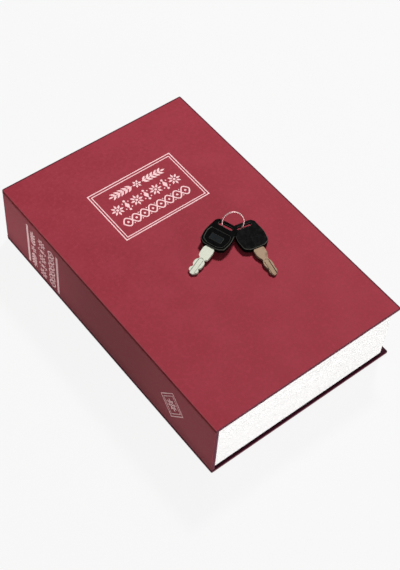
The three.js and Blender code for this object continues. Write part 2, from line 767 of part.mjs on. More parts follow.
// A key hangs with its slot on the ring, and slopes down until the tip of its blade is just above the cover.
function addKey(side, pose) {
  const angle = THREE.MathUtils.degToRad(pose.ringAngle);
  const ring = ringGroup();
  const onRing = new THREE.Vector3(ringRadius * Math.cos(angle), ringRadius * Math.sin(angle), 0)
    .applyEuler(ring.rotation)
    .add(ring.position);
  const inSlot = new THREE.Vector3(
    bladeLength + bowLength - slotBar - pose.barDistance, pose.offset, bowThickness / 2,
  );
  const rise = onRing.z - bookThickness - keyTipLift;
  const reach = Math.hypot(inSlot.x, bladeThickness / 2);
  const pitch = Math.asin(rise / reach) - Math.atan2(bladeThickness / 2, inSlot.x);
  const key = new THREE.Group();
  key.rotation.set(0, -pitch, THREE.MathUtils.degToRad(pose.azimuth), 'ZYX');
  key.position.copy(onRing).sub(inSlot.applyEuler(key.rotation));
  addPiece(`${side}_key_blade`, keyBlade(), nickelSilver, key);
  addPiece(`${side}_key_bow`, keyBow(), bowPlastic, key);
  bookSafe.add(key);
}

frontCover();
coverHingeStrip();
spineBoard();
spineAndBackWrap();
backCover();
pageBlock();
adhesiveSheets();
steelTray();
boxLid();
lidHinges();
camLock();
strikeBracket();
addKey('left', leftKeyPose);
addKey('right', rightKeyPose);
addKeyRing();

export default bookSafe;
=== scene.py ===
"""A book diversion safe, lying closed with its two keys on the front cover.

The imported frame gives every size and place. Shapes are worked out in millimetres in the part's own frame:
the spine at -X, the fore-edge at +X, the tail at -Y, the head at +Y and +Z up.
"""

import math
import random

import bmesh
import bpy
import numpy as np
from mathutils import Matrix, Vector


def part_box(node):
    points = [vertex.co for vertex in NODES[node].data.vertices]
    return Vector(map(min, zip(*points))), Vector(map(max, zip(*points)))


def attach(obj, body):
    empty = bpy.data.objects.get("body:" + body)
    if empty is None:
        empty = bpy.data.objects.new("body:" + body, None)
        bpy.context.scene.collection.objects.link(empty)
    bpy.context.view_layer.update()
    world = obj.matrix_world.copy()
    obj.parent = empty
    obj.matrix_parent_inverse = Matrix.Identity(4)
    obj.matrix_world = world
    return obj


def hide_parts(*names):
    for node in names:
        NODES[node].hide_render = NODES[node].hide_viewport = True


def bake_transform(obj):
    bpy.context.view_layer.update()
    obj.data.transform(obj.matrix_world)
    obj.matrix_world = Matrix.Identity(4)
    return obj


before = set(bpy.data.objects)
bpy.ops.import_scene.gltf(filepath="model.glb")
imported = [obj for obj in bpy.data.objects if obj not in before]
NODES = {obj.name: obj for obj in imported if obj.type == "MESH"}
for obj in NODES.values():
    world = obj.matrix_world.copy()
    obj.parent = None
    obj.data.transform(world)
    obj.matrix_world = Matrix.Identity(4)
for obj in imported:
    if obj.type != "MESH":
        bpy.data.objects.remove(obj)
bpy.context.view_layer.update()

MM = 0.001


def node_box(node):
    """Lowest and highest corner of a CAD node, in millimetres."""
    low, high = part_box(node)
    return low / MM, high / MM


# The case in the frame
FRONT_LOW, FRONT_HIGH = node_box("front_cover_wrap")
SPINE_LOW, SPINE_HIGH = node_box("spine_board")
CASE_LOW, CASE_HIGH = node_box("spine_and_back_wrap")
BACK_TOP = node_box("back_board")[1].z

# Rounded edges of the wraps, and how far a board's room runs past the board where the wrap is open
EDGE_RADIUS = 0.9
JOINT_RADIUS = 0.35
CORNER_RADIUS = 0.9
COVER_INNER = (JOINT_RADIUS, EDGE_RADIUS, EDGE_RADIUS, EDGE_RADIUS)
COVER_OUTER = (EDGE_RADIUS,) * 4
PUSH = 1.0

# The joint strips: how deep they are pressed in, how far they run into the wraps, and their thickness, which
# grows by the swell where they are pressed
JOINT_DEPTH = 0.25
JOINT_LAP = 0.25
JOINT_STEPS = 14
STRIP_INSET = 0.06
STRIP_THICKNESS = 0.28
STRIP_SWELL = 0.08
STRIP_END = 0.15

# The page block: its ridges, its outer corners, and its wall, rim and foot as in the frame
PAGE_PITCH = 0.5
PAGE_DEPTH = 0.09
PAGE_LEAST = 0.35
PAGE_UNEVEN = 0.02
PAGE_START = 0.2
PAGE_LOW_EDGE = 0.25
PAGE_HIGH_EDGE = 0.3
PAGE_CORNER = 0.9
PAGE_CORNER_STEPS = 5
PAGE_WALL = 2
PAGE_RIM = 2
PAGE_FOOT = 1.5
PAGE_FOOT_WIDTH = 6
TRAY_SURROUND = 0.3

# Foil: its height, how far it is sunk, what one layer adds, and the width at which a mark comes to a point
FOIL = 0.04
FOIL_SINK = 0.02
FOIL_LAYER = 0.006
FOIL_POINT = 0.02

# Keys: the frame's outside sizes, with narrower slots and finer cuts. The plate's start and end are measured
# from the end of the blade
BLADE_LENGTH = 24
BLADE_WIDTH = 8.2
BLADE_THICKNESS = 2
TANG_LENGTH = 9
TANG_WIDTH = 6
BOW_LENGTH = 23
BOW_WIDTH = 21.2
BOW_THICKNESS = 4
BOW_EDGE = 0.6
WEB_LENGTH = 7.6
WEB_THICKNESS = 2.2
WEB_SLOPE = 0.35
SLOT_LENGTH = 11.2
SLOT_WIDTH = 2.2
SLOT_BAR = 2.2
SLOT_FLARE = 0.25
PANEL_DEPTH = 0.35
PANEL_SLOPE = 0.35
PANEL_END = 1.2
RIM_WIDTH = 1.6
TANG_CLEARANCE = 0.1
TANG_OVERLAP = 0.5
PLATE_START = 5.4
PLATE_END = 10.4
PLATE_HALF = 4.8
PLATE_RIM = 0.7
PLATE_RISE = 0.16
PLATE_FIELD = 0.08
PLATE_SLOPE = 0.15
BOW_CORNERS = ((0, 0.52), (0.1, 0.9), (0.42, 1), (0.9, 0.84), (1, 0.62))
GROOVE_WIDTH = 3.6
GROOVE_DEPTH = 0.3
GROOVE_END = 13.8
GROOVE_FLARE = 0.12
LINE_WIDTH = 0.4
LINE_DEPTH = 0.7
LINE_SHORTER = 1.6
BLADE_EDGE = 0.14
BLADE_INTO_BOW = 0.4

# How far a cutting tool runs past the face that it opens
CUT_PAST = 0.1
WEB_CUT_PAST = 1

# Both edges of each blade, as shares of the blade's length and of its half width, from the tip
LEFT_CUTS = (
    ((0, 0.3), (0.045, 0.42), (0.085, 0.84), (0.17, 0.88), (0.235, 0.56), (0.27, 0.62), (0.3, 0.84),
     (0.38, 0.9), (0.47, 0.86), (0.53, 0.5), (0.575, 0.48), (0.62, 0.84), (0.7, 1)),
    ((0, 0.3), (0.06, 0.5), (0.1, 0.8), (0.165, 0.84), (0.2, 0.58), (0.235, 0.56), (0.27, 0.84),
     (0.38, 0.93), (0.48, 0.88), (0.51, 0.6), (0.55, 0.56), (0.59, 0.94), (0.7, 1)))
RIGHT_CUTS = (
    ((0, 0.16), (0.06, 0.44), (0.13, 0.62), (0.19, 0.6), (0.235, 0.46), (0.29, 0.6), (0.38, 0.76),
     (0.48, 0.74), (0.55, 0.5), (0.6, 0.48), (0.66, 0.72), (0.74, 0.92), (0.8, 1)),
    ((0, 0.16), (0.05, 0.54), (0.13, 0.78), (0.19, 0.76), (0.22, 0.64), (0.26, 0.74), (0.36, 0.82),
     (0.48, 0.78), (0.52, 0.54), (0.6, 0.56), (0.65, 0.76), (0.75, 0.97), (0.82, 1)))

# The camera, fitted to the corners of the book
CAMERA_EYE = Vector((-0.3451, -0.3886, 0.7188))
CAMERA_TARGET = Vector((-0.0043, -0.0116, 0.0275))
CAMERA_ROLL = 4.8145
CAMERA_LENS = 78.357
SENSOR_HEIGHT = 36

# Light: the floor's and the backdrop's paleness, and each lamp's strength
BACKGROUND = 0.93
FLOOR_SHARE = 0.75
FLOOR_GLOW = 1.195
FLOOR_REACH = 4.0
FLOOR_DROP = 0.0002
AMBIENT = 0.1
TOP_POWER = 43
FRONT_POWER = 20.3
HEAD_POWER = 0.045
TAIL_POWER = 0.046
LOW_LAMP_SIZE = 0.034
BOOK_MIDDLE = (0, 0, 0.03)


def add_camera():
    """The photograph's camera, without lens shift."""
    data = bpy.data.cameras.new("photo_camera")
    data.sensor_fit = "VERTICAL"
    data.sensor_height = SENSOR_HEIGHT
    data.lens = CAMERA_LENS
    data.clip_start = 0.01
    camera = bpy.data.objects.new("photo_camera", data)
    bpy.context.scene.collection.objects.link(camera)
    look = (CAMERA_TARGET - CAMERA_EYE).to_track_quat("-Z", "Y")
    roll = Matrix.Rotation(math.radians(CAMERA_ROLL), 4, "Z")
    camera.matrix_world = Matrix.Translation(CAMERA_EYE) @ look.to_matrix().to_4x4() @ roll
    bpy.context.scene.camera = camera


# Meshes

def object_from(name, mesh):
    """An object for a mesh, in the scene."""
    obj = bpy.data.objects.new(name, mesh)
    bpy.context.scene.collection.objects.link(obj)
    return obj


def mesh_object(name, verts, faces):
    """An object from points in millimetres, closed over coincident points, with its faces turned outwards."""
    mesh = bpy.data.meshes.new(name)
    mesh.from_pydata([Vector(v) * MM for v in verts], [], faces)
    tidy(mesh)
    return object_from(name, mesh)


def tidy(mesh, flat_angle=None):
    """Merges coincident points, drops empty faces and turns the rest outwards.
    flat_angle joins faces that meet at less than that angle."""
    bm = bmesh.new()
    bm.from_mesh(mesh)
    bmesh.ops.remove_doubles(bm, verts=bm.verts, dist=2e-6)
    bmesh.ops.dissolve_degenerate(bm, edges=bm.edges, dist=1e-6)
    if flat_angle is not None:
        bmesh.ops.dissolve_limit(bm, angle_limit=math.radians(flat_angle), verts=bm.verts, edges=bm.edges)
    bmesh.ops.recalc_face_normals(bm, faces=bm.faces)
    bm.to_mesh(mesh)
    bm.free()


def loft(name, loops):
    """A solid through loops of equally many points, capped at both ends."""
    count = len(loops[0])
    verts = [point for loop in loops for point in loop]
    faces = []
    for row in range(len(loops) - 1):
        a, b = row * count, (row + 1) * count
        for i in range(count):
            j = (i + 1) % count
            faces.append((a + i, a + j, b + j, b + i))
    faces.append(tuple(range(count)))
    faces.append(tuple(range(len(verts) - count, len(verts))))
    return mesh_object(name, verts, faces)


def baked(obj):
    """Applies an object's modifiers."""
    bpy.context.view_layer.update()
    graph = bpy.context.evaluated_depsgraph_get()
    mesh = bpy.data.meshes.new_from_object(obj.evaluated_get(graph))
    old = obj.data
    obj.modifiers.clear()
    obj.data = mesh
    bpy.data.meshes.remove(old)
    return obj


def combined(obj, tool, operation="DIFFERENCE"):
    """Cuts tool from obj, or joins it to obj, and removes tool."""
    modifier = obj.modifiers.new("combine", "BOOLEAN")
    modifier.operation = operation
    modifier.solver = "EXACT"
    modifier.object = tool
    baked(obj)
    bpy.data.objects.remove(tool)


def shaded(obj, angle=35):
    """Smooth shading up to an angle, with the large faces kept flat."""
    obj.data.shade_smooth()
    obj.data.set_sharp_from_angle(angle=math.radians(angle))
    modifier = obj.modifiers.new("normals", "WEIGHTED_NORMAL")
    modifier.keep_sharp = True
    modifier.weight = 80
    return baked(obj)


def bevelled(obj, width, segments=2, angle=30):
    """Rounds every edge that is sharper than an angle. The width is in millimetres."""
    modifier = obj.modifiers.new("bevel", "BEVEL")
    modifier.width = width * MM
    modifier.segments = segments
    modifier.limit_method = "ANGLE"
    modifier.angle_limit = math.radians(angle)
    modifier.use_clamp_overlap = False
    return baked(obj)


def copied(node, name):
    """A free copy of a CAD node, with its flat faces whole."""
    obj = object_from(name, NODES[node].data.copy())
    obj.data.materials.clear()
    tidy(obj.data, flat_angle=0.5)
    return obj


def dressed(obj, body, material, nodes=()):
    """Gives a finished piece its material, its body and the nodes that it stands for."""
    obj.data.materials.clear()
    obj.data.materials.append(material)
    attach(obj, body)
    if nodes:
        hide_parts(*nodes)


def softened(node, body, slot, width):
    """A metal CAD node with its edges rounded, in the node's place."""
    obj = bevelled(copied(node, f"{node}_piece"), width)
    dressed(shaded(obj), body, METALS[slot], [node])


def arc(steps, degrees=90):
    """Sines and cosines of a turn from 0, in equal steps."""
    angles = [math.radians(degrees * i / steps) for i in range(steps + 1)]
    return [(math.sin(a), math.cos(a)) for a in angles]


# Rounded slabs

def slab_loop(size, insets, heights, steps=6):
    """One loop of a slab. size is (u0, u1, v0, v1), and insets and heights are given for those sides in that
    order."""
    u0, u1, v0, v1 = size
    corners = (
        (u1, v0, -1, 1, 1, 2, True),
        (u1, v1, -1, -1, 1, 3, False),
        (u0, v1, 1, -1, 0, 3, True),
        (u0, v0, 1, 1, 0, 2, False),
    )
    loop = []
    for u, v, su, sv, side_u, side_v, from_v in corners:
        iu, iv = insets[side_u], insets[side_v]
        ru, rv = max(CORNER_RADIUS - iu, 0), max(CORNER_RADIUS - iv, 0)
        for s, c in arc(steps):
            along_u, along_v = (c, s) if not from_v else (s, c)
            share = along_v ** 2
            loop.append((
                u + su * (iu + ru * (1 - along_u)),
                v + sv * (iv + rv * (1 - along_v)),
                heights[side_u] * (1 - share) + heights[side_v] * share,
            ))
    return loop


def rounded_slab(name, size, thickness, inner, outer, place, steps=5):
    """A plate with rounded edges. inner and outer are the radii of its edges at height 0 and at its
    thickness, for the sides u0, u1, v0 and v1, and place maps (u, v, height) to a point of the part."""
    loops = []
    for s, c in arc(steps):
        loops.append(slab_loop(size, [r * (1 - s) for r in inner], [r * (1 - c) for r in inner]))
    for s, c in arc(steps):
        heights = [thickness - r + r * s for r in outer]
        loops.append(slab_loop(size, [r * (1 - c) for r in outer], heights))
    return loft(name, [[place(*point) for point in loop] for loop in loops])


def pushed_board(node, pushes):
    """A copy of a board whose faces on some planes are moved out, to cut its room from a wrap."""
    obj = copied(node, "board_room")
    for vert in obj.data.vertices:
        for axis, plane, by in pushes:
            if abs(vert.co[axis] / MM - plane) < 0.01:
                vert.co[axis] += by * MM
    return obj


# Materials

def new_material(name):
    """A node material with its tree and its shader."""
    material = bpy.data.materials.new(name)
    material.use_nodes = True
    tree = material.node_tree
    shader = tree.nodes["Principled BSDF"]
    return material, tree, shader


def feed(tree, node, inputs):
    """Sets each input to a value, or links it to another node's output."""
    for key, value in inputs.items():
        if isinstance(value, bpy.types.NodeSocket):
            tree.links.new(value, node.inputs[key])
        else:
            node.inputs[key].default_value = value


def finish(tree, shader, colour, roughness, specular=0.5):
    """Gives a surface its colour, its roughness and the strength of its shine."""
    feed(tree, shader, {"Base Color": colour, "Roughness": roughness, "Specular IOR Level": specular})


def add(tree, kind, inputs=None, **settings):
    """A shader node with its settings and inputs."""
    node = tree.nodes.new(kind)
    for key, value in settings.items():
        setattr(node, key, value)
    feed(tree, node, inputs or {})
    return node


def place_of(tree, stretch=(1, 1, 1)):
    """Object coordinates, stretched."""
    coords = add(tree, "ShaderNodeTexCoord")
    mapping = add(tree, "ShaderNodeMapping", {"Vector": coords.outputs["Object"], "Scale": stretch})
    return mapping.outputs["Vector"]


def noise(tree, size, where=None, detail=3.0, roughness=0.55, distortion=0.0):
    """Noise with features of about size millimetres, as a value around 0.5."""
    inputs = {"Scale": 1 / (size * MM), "Detail": detail, "Roughness": roughness, "Distortion": distortion}
    inputs["Vector"] = where or place_of(tree)
    return add(tree, "ShaderNodeTexNoise", inputs).outputs["Fac"]


def cells(tree, size, feature="F1", smooth=0.6):
    """Cells of about size millimetres, as the distance from their middles."""
    inputs = {"Scale": 1 / (size * MM), "Vector": place_of(tree)}
    node = add(tree, "ShaderNodeTexVoronoi", inputs, feature=feature)
    if feature == "SMOOTH_F1":
        node.inputs["Smoothness"].default_value = smooth
    return node.outputs["Distance"]


def spread(tree, value, low, high, to_low=0.0, to_high=1.0):
    """Maps low..high to to_low..to_high, smoothly and clamped."""
    node = add(tree, "ShaderNodeMapRange", {
        "Value": value, "From Min": low, "From Max": high, "To Min": to_low, "To Max": to_high,
    }, interpolation_type="SMOOTHSTEP")
    return node.outputs["Result"]


def mixed(tree, share, first, second):
    """A colour between first and second, each an output or a colour of 0 to 255."""
    node = add(tree, "ShaderNodeMix", data_type="RGBA")
    ends = [end if isinstance(end, bpy.types.NodeSocket) else linear(end) for end in (first, second)]
    feed(tree, node, {0: share, 6: ends[0], 7: ends[1]})
    return node.outputs[2]


def sums(tree, first, second, operation="ADD"):
    """One arithmetic step on two values."""
    return add(tree, "ShaderNodeMath", {0: first, 1: second}, operation=operation).outputs[0]


def times(tree, first, second):
    """The product of two values."""
    return sums(tree, first, second, "MULTIPLY")


def axes_of(tree, which):
    """The x, y and z of the normal or of the object's coordinates."""
    coords = add(tree, "ShaderNodeTexCoord")
    parts = add(tree, "ShaderNodeSeparateXYZ", {"Vector": coords.outputs[which]})
    return [parts.outputs[axis] for axis in "XYZ"]


def bump(tree, shader, height, distance, strength):
    """Bump of distance millimetres over a height of 0 to 1."""
    node = add(tree, "ShaderNodeBump", {"Height": height, "Distance": distance * MM, "Strength": strength})
    tree.links.new(node.outputs["Normal"], shader.inputs["Normal"])


def linear(colour):
    """A colour of 0 to 255 as Blender's linear values."""
    values = []
    for part in colour:
        c = part / 255
        values.append(c / 12.92 if c <= 0.04045 else ((c + 0.055) / 1.055) ** 2.4)
    return (*values, 1.0)


# Where a change of the leatherette's colour starts and ends, in millimetres from a plane of the case
BACK_EDGE_SHADE_FADE = (0.6, 0.1)
BORDER_SHADE_FADE = (-1.7, -1.1)
SHADE_FADE = (16, 3)
CREASE_SHADE_LOW_FADE = (-0.1, 0.3)
CREASE_SHADE_HIGH_FADE = (-0.3, -0.8)
LEDGE_SHADE_FADE = (8, 16)


def between(tree, value, plane, fade):
    """A change from 0 to 1 between two distances from a plane."""
    start, end = fade
    return spread(tree, value, (plane + start) * MM, (plane + end) * MM)


def leatherette():
    """Imitation leather: mottled red with a fine pressed grain. Painted shade darkens it on the faces towards
    the head, the tail and the fore-edge, in a band along the far edges and the spine's lowest edge, towards
    the foot of the spine, and on faces that look up low in the case or down high in it, such as the ledge
    where it is turned in. It is deep red on the front board's edge in the joint's crease, also painted shade.
    A painted sheen makes it paler and greyer on the spine, and a painted highlight runs along the edges that
    face up towards the joint."""
    material, tree, shader = new_material("leatherette")
    clouds = noise(tree, 26, detail=2)
    mottle = noise(tree, 2.6, detail=4, roughness=0.6)
    flecks = noise(tree, 0.9, detail=2)
    colour = mixed(tree, spread(tree, clouds, 0.3, 0.7), (147, 50, 61), (152, 54, 66))
    colour = mixed(tree, spread(tree, mottle, 0.48, 0.7, 0, 0.6), colour, (160, 60, 73))
    colour = mixed(tree, spread(tree, mottle, 0.48, 0.3, 0, 0.55), colour, (140, 46, 55))
    colour = mixed(tree, spread(tree, flecks, 0.6, 0.75, 0, 0.35), colour, (130, 40, 51))
    normal_x, normal_y, normal_z = axes_of(tree, "Normal")
    x, y, z = axes_of(tree, "Object")
    # Painted shade: the wraps' faces that look towards the head, the tail and the fore-edge are darkened.
    ends = times(tree, normal_y, normal_y)
    side = spread(tree, normal_x, 0.08, 0.5)
    edge = sums(tree, spread(tree, ends, 0.05, 0.4), side, "MAXIMUM")
    # Painted shade: a dark line along the spine's lowest edge, by the back board.
    back_edge_shade = times(tree, between(tree, z, BACK_TOP, BACK_EDGE_SHADE_FADE), spread(tree, normal_x, -0.2, -0.7))
    # Painted shade: a dark band along the far edges, at the fore-edge and the head.
    border_shade = sums(tree, between(tree, x, FRONT_HIGH.x, BORDER_SHADE_FADE),
                  between(tree, y, FRONT_HIGH.y, BORDER_SHADE_FADE), "MAXIMUM")
    border_shade = sums(tree, border_shade, back_edge_shade, "MAXIMUM")
    # Painted sheen: the spine is paler and greyer.
    spine_sheen = spread(tree, normal_x, -0.8, -0.98, 0, 0.62)
    colour = mixed(tree, spine_sheen, colour, (150, 82, 87))
    shade = times(tree, between(tree, z, 0, SHADE_FADE), spread(tree, normal_x, -0.5, -0.9))
    colour = mixed(tree, times(tree, shade, 0.35), colour, (96, 34, 46))
    # Painted highlight along the rounded edges that face up towards the spine.
    edge_highlight = times(tree, spread(tree, normal_x, -0.1, -0.45), spread(tree, normal_z, 0.2, 0.6))
    colour = mixed(tree, times(tree, edge_highlight, 0.55), colour, (190, 98, 106))
    # Painted shade: the front board's edge in the joint is deep red.
    crease_shade = times(tree, between(tree, z, FRONT_LOW.z, CREASE_SHADE_LOW_FADE),
                   between(tree, z, FRONT_HIGH.z, CREASE_SHADE_HIGH_FADE))
    crease_shade = times(tree, crease_shade, spread(tree, normal_x, -0.4, -0.8))
    colour = mixed(tree, crease_shade, colour, (104, 0, 6))
    # Painted shade on the faces towards the head, the tail and the fore-edge.
    colour = mixed(tree, times(tree, edge, 0.9), colour, (90, 50, 61))
    # Painted shade along the far edges and the spine's lowest edge.
    colour = mixed(tree, times(tree, border_shade, 0.9), colour, (70, 28, 42))
    # Painted shade: faces that look up low in the case, such as the back cover's ledge under the pages, and
    # faces that look down high in it are nearly black.
    below = sums(tree, FRONT_HIGH.z / 2 * MM, z, "SUBTRACT")
    inwards = times(tree, times(tree, below, normal_z), 1 / MM)
    ledge_shade = spread(tree, inwards, *LEDGE_SHADE_FADE)
    colour = mixed(tree, ledge_shade, colour, (44, 8, 22))
    finish(tree, shader, colour, spread(tree, mottle, 0.3, 0.7, 0.5, 0.62), 0.03)
    grain = sums(tree, cells(tree, 0.75, feature="SMOOTH_F1"), noise(tree, 0.35, detail=2))
    bump(tree, shader, grain, 0.035, 0.55)
    return material


def joint_leatherette():
    """The same wrap where it is pressed into the joint: creased and duller, and a little darker than the
    spine, partly from the pressing and partly as painted shade of the groove.
    """
    material, tree, shader = new_material("leatherette_joint")
    mottle = noise(tree, 4, detail=3)
    # Darker than the spine: partly pressed wrap, partly painted shade of the groove.
    colour = mixed(tree, spread(tree, mottle, 0.35, 0.7), (128, 58, 64), (140, 66, 72))
    finish(tree, shader, colour, 0.6, 0.25)
    creases = noise(tree, 0.6, place_of(tree, (1, 0.25, 3)), detail=3)
    bump(tree, shader, creases, 0.05, 0.6)
    return material


def fibre_material(name, dark, light, fleck, size):
    """Paper or board: short fibres and flecks."""
    material, tree, shader = new_material(name)
    fibres = noise(tree, size, place_of(tree, (1, 0.35, 1)), detail=4, roughness=0.65)
    specks = noise(tree, size * 0.4, detail=2)
    colour = mixed(tree, spread(tree, fibres, 0.3, 0.7), dark, light)
    colour = mixed(tree, spread(tree, specks, 0.68, 0.8, 0, 0.6), colour, fleck)
    finish(tree, shader, colour, spread(tree, fibres, 0.3, 0.7, 0.9, 0.82), 0.2)
    bump(tree, shader, fibres, 0.02, 0.5)
    return material


def page_material():
    """White page edges: each page a shade apart, with faint handling marks."""
    material, tree, shader = new_material("page_edges")
    pages = noise(tree, 0.45, place_of(tree, (0.01, 0.01, 1)), detail=3, roughness=0.7)
    waves = noise(tree, 30, place_of(tree, (1, 1, 2)), detail=2)
    colour = mixed(tree, spread(tree, pages, 0.35, 0.65), (244, 243, 241), (251, 250, 250))
    colour = mixed(tree, spread(tree, waves, 0.55, 0.85, 0, 0.2), colour, (243, 239, 235))
    finish(tree, shader, colour, spread(tree, pages, 0.3, 0.7, 0.75, 0.65), 0.3)
    bump(tree, shader, pages, 0.03, 0.5)
    return material


def foam_material():
    """Dark foam of the adhesive sheets, with open pores."""
    material, tree, shader = new_material("foam_adhesive")
    pores = cells(tree, 0.5)
    colour = mixed(tree, spread(tree, pores, 0.1, 0.6), (38, 38, 39), (66, 66, 67))
    finish(tree, shader, colour, 0.95)
    bump(tree, shader, pores, 0.1, 0.6)
    return material


def powder_coat():
    """Black powder coat on sheet steel: a fine orange peel with rubbed places."""
    material, tree, shader = new_material("black_powder_coat")
    peel = cells(tree, 0.9, feature="SMOOTH_F1", smooth=1.0)
    rub = noise(tree, 12, detail=4)
    specks = noise(tree, 0.35, detail=1)
    colour = mixed(tree, spread(tree, rub, 0.35, 0.7), (24, 24, 26), (32, 32, 34))
    colour = mixed(tree, spread(tree, specks, 0.7, 0.8, 0, 0.35), colour, (62, 62, 64))
    finish(tree, shader, colour, spread(tree, rub, 0.3, 0.7, 0.5, 0.38))
    bump(tree, shader, peel, 0.05, 0.5)
    return material


def metal(name, dark, light, roughness, size, scratch=0.02, stain=0.3):
    """Metal with a mottled finish."""
    material, tree, shader = new_material(name)
    drawn = noise(tree, size, detail=4, roughness=0.6)
    stains = noise(tree, 6, detail=3)
    colour = mixed(tree, spread(tree, drawn, 0.3, 0.7), dark, light)
    colour = mixed(tree, spread(tree, stains, 0.5, 0.75, 0, stain), colour, dark)
    finish(tree, shader, colour, spread(tree, drawn, 0.3, 0.7, roughness * 0.85, roughness * 1.15))
    shader.inputs["Metallic"].default_value = 1.0
    bump(tree, shader, drawn, scratch, 0.5)
    return material


def moulded_plastic(name, dark, light):
    """Black moulded plastic with a spark-eroded texture and scuffs, with a painted highlight that makes its
    upward-sloping edges paler.
    """
    material, tree, shader = new_material(name)
    sparks = noise(tree, 0.22, detail=3, roughness=0.7)
    scuffs = noise(tree, 3, detail=5, roughness=0.7, distortion=1.0)
    colour = mixed(tree, spread(tree, scuffs, 0.4, 0.75), dark, light)
    facing = sums(tree, axes_of(tree, "Normal")[2], 0, "MAXIMUM")
    # Painted highlight: faces that slope upwards, the bow's edges and rims, are paler.
    wear_and_highlight = times(tree, spread(tree, facing, 0.2, 0.6), spread(tree, facing, 0.985, 0.9))
    colour = mixed(tree, wear_and_highlight, colour, (70, 71, 66))
    finish(tree, shader, colour, spread(tree, scuffs, 0.3, 0.7, 0.55, 0.4), 0.009)
    bump(tree, shader, sparks, 0.02, 0.6)
    return material


def foil_material():
    """Hot-stamped foil: bright, faintly pink from the wrap that shows through its pinholes."""
    material, tree, shader = new_material("stamped_foil")
    wear_and_highlight = noise(tree, 0.5, detail=4, roughness=0.7)
    sheen = noise(tree, 8, detail=2)
    colour = mixed(tree, spread(tree, sheen, 0.3, 0.7), (246, 200, 201), (250, 211, 212))
    colour = mixed(tree, spread(tree, wear_and_highlight, 0.6, 0.75, 0, 0.7), colour, (204, 130, 134))
    finish(tree, shader, colour, spread(tree, wear_and_highlight, 0.3, 0.7, 0.45, 0.6), 0.06)
    bump(tree, shader, wear_and_highlight, 0.01, 0.4)
    return material


add_camera()

LEATHERETTE = leatherette()
JOINT = joint_leatherette()
GREYBOARD = fibre_material("greyboard", (134, 126, 114), (150, 142, 130), (104, 96, 86), 1.2)
ENDPAPER = fibre_material("endpaper", (226, 221, 211), (236, 232, 224), (205, 198, 186), 0.9)
PAGES = page_material()
FOAM = foam_material()
METALS = {
    "black_steel": powder_coat(),
    "hinge_steel": metal("zinc_plate", (150, 152, 154), (186, 188, 190), 0.42, 2.5, scratch=0.01),
    "rivet": metal("rivet_steel", (168, 170, 172), (198, 200, 202), 0.35, 0.6),
    "lock_chrome": metal("chrome", (206, 207, 209), (222, 223, 225), 0.14, 0.8, scratch=0.004),
    "wafer_brass": metal("stamped_brass", (178, 146, 82), (200, 168, 100), 0.36, 0.4),
}
NICKEL = metal("key_nickel", (144, 146, 135), (168, 170, 158), 0.66, 0.25, scratch=0.012)
WARM_NICKEL = metal("key_nickel_worn", (86, 70, 57), (134, 116, 98), 0.66, 0.25, scratch=0.012, stain=0.8)
# The ring's pink tint is a painted reflection of the red cover.
RING_WIRE = metal("ring_wire", (140, 110, 110), (166, 134, 134), 0.42, 3, scratch=0.001)
PLASTIC = moulded_plastic("moulded_black", (4, 4, 4), (9, 10, 9))
PLATE_PLASTIC = moulded_plastic("moulded_plate", (27, 30, 32), (34, 37, 39))
FOIL_METAL = foil_material()


# The case

def front_cover():
    """The front cover's wrap, with its board's room cut from inside."""
    size = (FRONT_LOW.x, FRONT_HIGH.x, FRONT_LOW.y, FRONT_HIGH.y)
    base = FRONT_LOW.z
    sheet = rounded_slab(
        "front_cover_wrap_sheet", size, FRONT_HIGH.z - base, COVER_INNER, COVER_OUTER,
        lambda u, v, w: (u, v, base + w))
    combined(sheet, pushed_board("front_board", [(2, base, -PUSH)]))
    dressed(shaded(sheet), "front_cover", LEATHERETTE, ["front_cover_wrap"])


def joint_strip(name, low, high):
    """A strip of wrap pressed in between two boards, from z low to z high, with a lap at each end."""
    section = []
    for i in range(JOINT_STEPS + 1):
        t = i / JOINT_STEPS
        z = low - JOINT_LAP + t * (high - low + 2 * JOINT_LAP)
        inside = min(max((z - low) / JOINT_LAP, 0), 1, max((high - z) / JOINT_LAP, 0))
        pressed = inside * inside * (3 - 2 * inside)
        x = CASE_LOW.x + JOINT_DEPTH * pressed + STRIP_INSET
        section.append((x, z, STRIP_THICKNESS + STRIP_SWELL * pressed))
    loops = []
    for y in (CASE_LOW.y + STRIP_END, CASE_HIGH.y - STRIP_END):
        outer = [(x, y, z) for x, z, _ in section]
        inner = [(x + thick, y, z) for x, z, thick in reversed(section)]
        loops.append(outer + inner)
    return loft(name, loops)


def hinge_strip():
    """The joint between spine and front cover, drawn as it lies with the cover closed; the real joint bends
    as the cover opens.
    """
    low, high = node_box("cover_hinge_strip")
    strip = joint_strip("cover_joint", low.z, high.z)
    shaded(strip, 50)
    strip.data.materials.append(JOINT)
    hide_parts("cover_hinge_strip")
    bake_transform(strip)


def case_wrap():
    """The wrap of back cover, back joint and spine, with the boards' room cut from it."""
    back_size = (CASE_LOW.x, CASE_HIGH.x, CASE_LOW.y, CASE_HIGH.y)
    back = rounded_slab(
        "spine_and_back_wrap_sheet", back_size, BACK_TOP - CASE_LOW.z, COVER_INNER, COVER_OUTER,
        lambda u, v, w: (u, v, BACK_TOP - w))
    combined(back, pushed_board("back_board", [(2, BACK_TOP, PUSH)]))
    inside = SPINE_HIGH.x
    spine_size = (SPINE_LOW.z, SPINE_HIGH.z, CASE_LOW.y, CASE_HIGH.y)
    spine = rounded_slab(
        "spine_sheet", spine_size, inside - CASE_LOW.x,
        (0, 0, EDGE_RADIUS, EDGE_RADIUS), (JOINT_RADIUS, JOINT_RADIUS, EDGE_RADIUS, EDGE_RADIUS),
        lambda u, v, w: (inside - w, v, u))
    pushes = [(0, inside, PUSH), (2, SPINE_LOW.z, -PUSH), (2, SPINE_HIGH.z, PUSH)]
    combined(spine, pushed_board("spine_board", pushes))
    strip = joint_strip("back_joint", BACK_TOP, SPINE_LOW.z)
    combined(back, spine, "UNION")
    combined(back, strip, "UNION")
    dressed(shaded(back), "case", LEATHERETTE, ["spine_and_back_wrap"])


